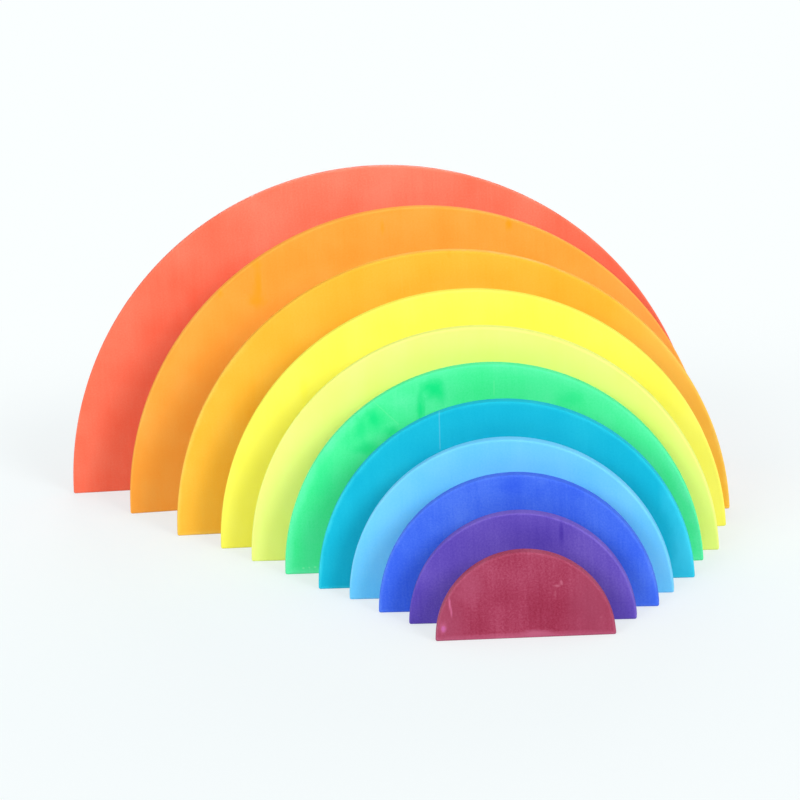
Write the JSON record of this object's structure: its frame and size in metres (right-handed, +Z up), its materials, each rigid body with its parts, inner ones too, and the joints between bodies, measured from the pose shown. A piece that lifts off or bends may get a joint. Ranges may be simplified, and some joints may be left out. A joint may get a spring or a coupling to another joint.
{
  "type": "rainbow stacker",
  "caption": "Rainbow set of half-disc wooden boards in bright stains, standing on their straight edges in a staggered row by size; each board lifts away for stacking and building play.",
  "frame": {"origin": "on the table, under the middle of the row's box", "axes": "+X along the boards, to the right as seen from the front; +Y from the front of the row to its back; +Z up"},
  "size_m": [0.364, 0.3576, 0.179],
  "materials": {
    "red_stain": "smooth sanded wood with a thin matt water stain, paler on the edges",
    "orange_stain": "smooth sanded wood with a thin matt water stain, paler on the edges",
    "amber_stain": "smooth sanded wood with a thin matt water stain, paler on the edges",
    "yellow_stain": "smooth sanded wood with a thin matt water stain, paler on the edges",
    "lime_stain": "smooth sanded wood with a thin matt water stain, paler on the edges",
    "green_stain": "smooth sanded wood with a thin matt water stain, paler on the edges",
    "teal_stain": "smooth sanded wood with a thin matt water stain, paler on the edges",
    "sky_blue_stain": "smooth sanded wood with a thin matt water stain, paler on the edges",
    "royal_blue_stain": "smooth sanded wood with a thin matt water stain, paler on the edges",
    "purple_stain": "smooth sanded wood with a thin matt water stain, paler on the edges",
    "burgundy_stain": "smooth sanded wood with a thin matt water stain, paler on the edges"
  },
  "bodies": {
    "red_board": {"red_board": "red_stain"},
    "orange_board": {"orange_board": "orange_stain"},
    "amber_board": {"amber_board": "amber_stain"},
    "yellow_board": {"yellow_board": "yellow_stain"},
    "lime_board": {"lime_board": "lime_stain"},
    "green_board": {"green_board": "green_stain"},
    "teal_board": {"teal_board": "teal_stain"},
    "sky_blue_board": {"sky_blue_board": "sky_blue_stain"},
    "royal_blue_board": {"royal_blue_board": "royal_blue_stain"},
    "purple_board": {"purple_board": "purple_stain"},
    "burgundy_board": {"burgundy_board": "burgundy_stain"}
  },
  "joints": [
    {"name": "orange_lift", "type": "slide", "parent": "red_board", "child": "orange_board", "axis": [0, 0, 1], "range_m": [0, 0.2]},
    {"name": "amber_lift", "type": "slide", "parent": "red_board", "child": "amber_board", "axis": [0, 0, 1], "range_m": [0, 0.2]},
    {"name": "yellow_lift", "type": "slide", "parent": "red_board", "child": "yellow_board", "axis": [0, 0, 1], "range_m": [0, 0.2]},
    {"name": "lime_lift", "type": "slide", "parent": "red_board", "child": "lime_board", "axis": [0, 0, 1], "range_m": [0, 0.2]},
    {"name": "green_lift", "type": "slide", "parent": "red_board", "child": "green_board", "axis": [0, 0, 1], "range_m": [0, 0.2]},
    {"name": "teal_lift", "type": "slide", "parent": "red_board", "child": "teal_board", "axis": [0, 0, 1], "range_m": [0, 0.2]},
    {"name": "sky_blue_lift", "type": "slide", "parent": "red_board", "child": "sky_blue_board", "axis": [0, 0, 1], "range_m": [0, 0.2]},
    {"name": "royal_blue_lift", "type": "slide", "parent": "red_board", "child": "royal_blue_board", "axis": [0, 0, 1], "range_m": [0, 0.2]},
    {"name": "purple_lift", "type": "slide", "parent": "red_board", "child": "purple_board", "axis": [0, 0, 1], "range_m": [0, 0.2]},
    {"name": "burgundy_lift", "type": "slide", "parent": "red_board", "child": "burgundy_board", "axis": [0, 0, 1], "range_m": [0, 0.2]}
  ]
}
